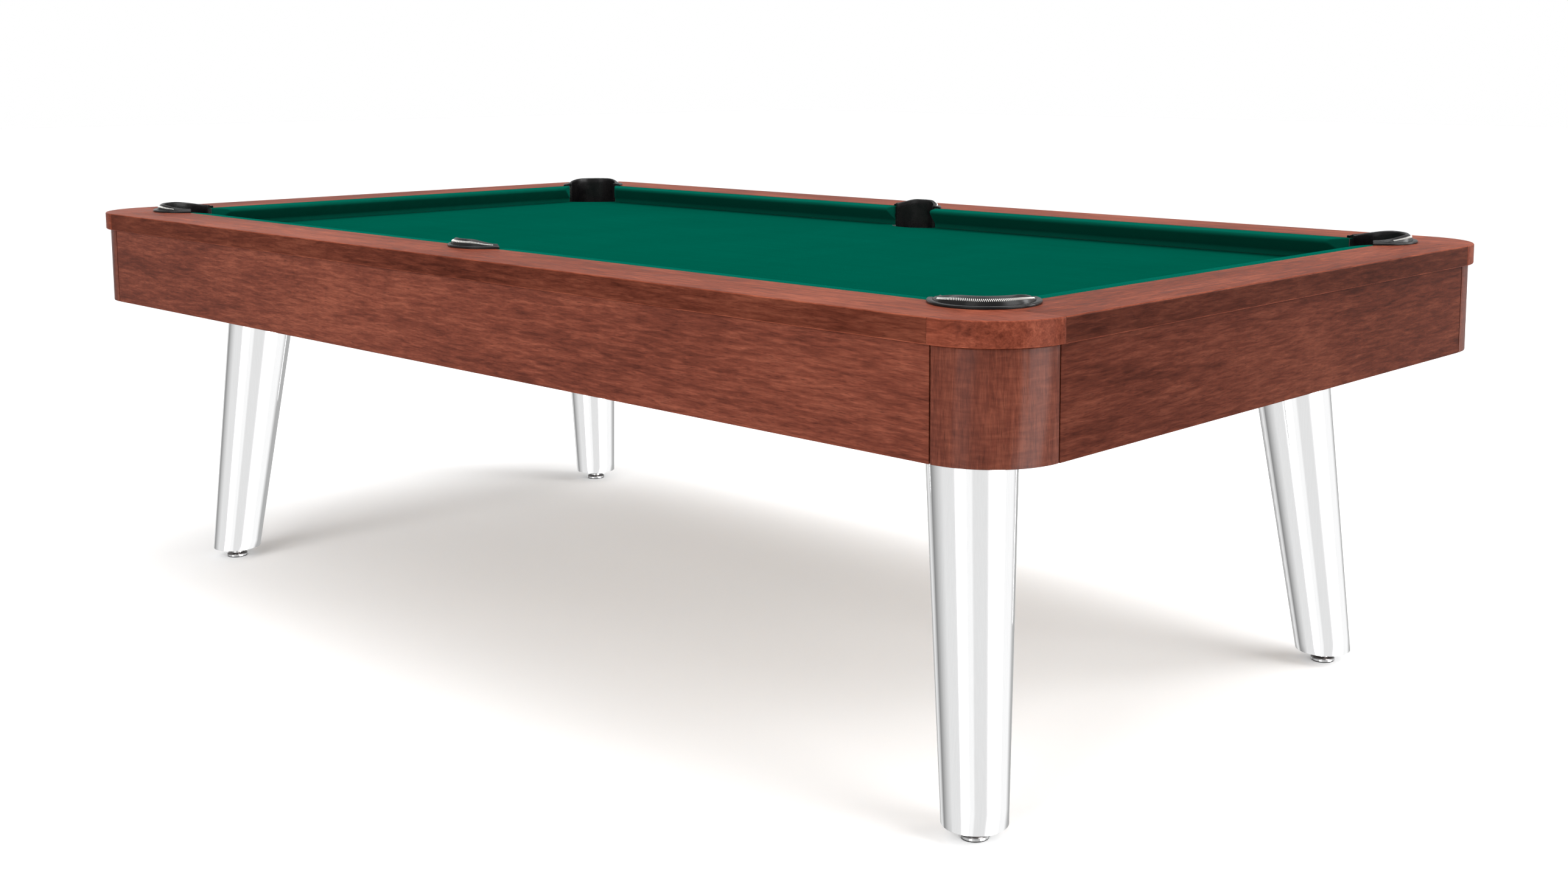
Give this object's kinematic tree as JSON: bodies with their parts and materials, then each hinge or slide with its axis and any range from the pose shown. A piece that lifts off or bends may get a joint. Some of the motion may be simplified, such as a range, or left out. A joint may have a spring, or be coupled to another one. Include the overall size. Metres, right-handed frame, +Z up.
{
  "type": "pool table",
  "caption": "Drop-pocket pool table: cloth-covered slate bed, rubber cushions, wood rails and aprons, leather pockets, and splayed tapered legs on levelling feet.",
  "frame": {"origin": "on the floor under the centre of the table", "axes": "+X along the table's length, +Y across its width, +Z up"},
  "size_m": [2.559, 1.442, 0.797],
  "materials": {
    "rail_wood": "satin red-brown mahogany stain, fine mottled grain",
    "cabinet_wood": "satin red-brown mahogany stain, fine mottled grain",
    "frame_timber": "bare sawn timber and plywood",
    "slate": "honed slate",
    "cloth": "green worsted wool cloth",
    "cushion_rubber": "moulded cushion rubber",
    "pocket_leather": "glossy black leather with white stitching",
    "iron": "dark cast iron",
    "steel": "zinc-plated steel",
    "leg_metal": "polished aluminium",
    "foot_chrome": "chromed steel disc on a thin black rubber sole",
    "thread": "white waxed stitching thread"
  },
  "bodies": {
    "table": {"leg_front_left": "leg_metal", "leg_front_right": "leg_metal", "leg_back_left": "leg_metal", "leg_back_right": "leg_metal", "leveller_inserts": "steel", "leg_plates": "steel", "leg_bolts": "steel", "leg_bolsters": "frame_timber", "frame_long_beams": "frame_timber", "frame_cross_beams": "frame_timber", "slate_left": "slate", "slate_middle": "slate", "slate_right": "slate", "slate_liners": "frame_timber", "slate_screws": "steel", "bed_cloth": "cloth", "apron_front": "cabinet_wood", "apron_back": "cabinet_wood", "apron_left": "cabinet_wood", "apron_right": "cabinet_wood", "apron_brackets": "steel", "corner_post_front_left": "cabinet_wood", "corner_post_front_right": "cabinet_wood", "corner_post_back_left": "cabinet_wood", "corner_post_back_right": "cabinet_wood", "rail_front": "rail_wood", "rail_back": "rail_wood", "rail_left": "rail_wood", "rail_right": "rail_wood", "rail_bolts": "steel", "rail_corner_front_left": "rail_wood", "rail_corner_front_right": "rail_wood", "rail_corner_back_left": "rail_wood", "rail_corner_back_right": "rail_wood", "cushion_front_left": "cushion_rubber", "cushion_front_right": "cushion_rubber", "cushion_back_left": "cushion_rubber", "cushion_back_right": "cushion_rubber", "cushion_left": "cushion_rubber", "cushion_right": "cushion_rubber", "cushion_cloths": "cloth", "pocket_facings": "cushion_rubber", "feather_strips": "frame_timber", "pocket_collar_front_left": "pocket_leather", "pocket_collar_front_middle": "pocket_leather", "pocket_collar_front_right": "pocket_leather", "pocket_collar_back_left": "pocket_leather", "pocket_collar_back_middle": "pocket_leather", "pocket_collar_back_right": "pocket_leather", "pocket_irons": "iron", "pocket_screws": "steel", "pocket_buckets": "pocket_leather"},
    "pad_front_left": {"leveller_pad_front_left": "foot_chrome"},
    "stud_front_left": {"leveller_stud_front_left": "steel"},
    "pad_front_right": {"leveller_pad_front_right": "foot_chrome"},
    "stud_front_right": {"leveller_stud_front_right": "steel"},
    "pad_back_left": {"leveller_pad_back_left": "foot_chrome"},
    "stud_back_left": {"leveller_stud_back_left": "steel"},
    "pad_back_right": {"leveller_pad_back_right": "foot_chrome"},
    "stud_back_right": {"leveller_stud_back_right": "steel"}
  },
  "joints": [
    {"name": "leveller_out_front_left", "type": "slide", "parent": "table", "child": "pad_front_left", "axis": [0, 0, -1], "range_m": [0, 0.02]},
    {"name": "stud_turn_front_left", "type": "hinge", "parent": "pad_front_left", "child": "stud_front_left", "pos_m": [-1.0705, -0.512, 0.016], "axis": [0, 0, 1], "range_deg": [0, 4114.3]},
    {"name": "leveller_out_front_right", "type": "slide", "parent": "table", "child": "pad_front_right", "axis": [0, 0, -1], "range_m": [0, 0.02]},
    {"name": "stud_turn_front_right", "type": "hinge", "parent": "pad_front_right", "child": "stud_front_right", "pos_m": [1.0705, -0.512, 0.016], "axis": [0, 0, 1], "range_deg": [0, 4114.3]},
    {"name": "leveller_out_back_left", "type": "slide", "parent": "table", "child": "pad_back_left", "axis": [0, 0, -1], "range_m": [0, 0.02]},
    {"name": "stud_turn_back_left", "type": "hinge", "parent": "pad_back_left", "child": "stud_back_left", "pos_m": [-1.0705, 0.512, 0.016], "axis": [0, 0, 1], "range_deg": [0, 4114.3]},
    {"name": "leveller_out_back_right", "type": "slide", "parent": "table", "child": "pad_back_right", "axis": [0, 0, -1], "range_m": [0, 0.02]},
    {"name": "stud_turn_back_right", "type": "hinge", "parent": "pad_back_right", "child": "stud_back_right", "pos_m": [1.0705, 0.512, 0.016], "axis": [0, 0, 1], "range_deg": [0, 4114.3]}
  ],
  "couplings": [
    {"joint": "stud_turn_front_left", "follows": "leveller_out_front_left", "rad_per_m": 3590.4},
    {"joint": "stud_turn_front_right", "follows": "leveller_out_front_right", "rad_per_m": 3590.4},
    {"joint": "stud_turn_back_left", "follows": "leveller_out_back_left", "rad_per_m": 3590.4},
    {"joint": "stud_turn_back_right", "follows": "leveller_out_back_right", "rad_per_m": 3590.4}
  ]
}
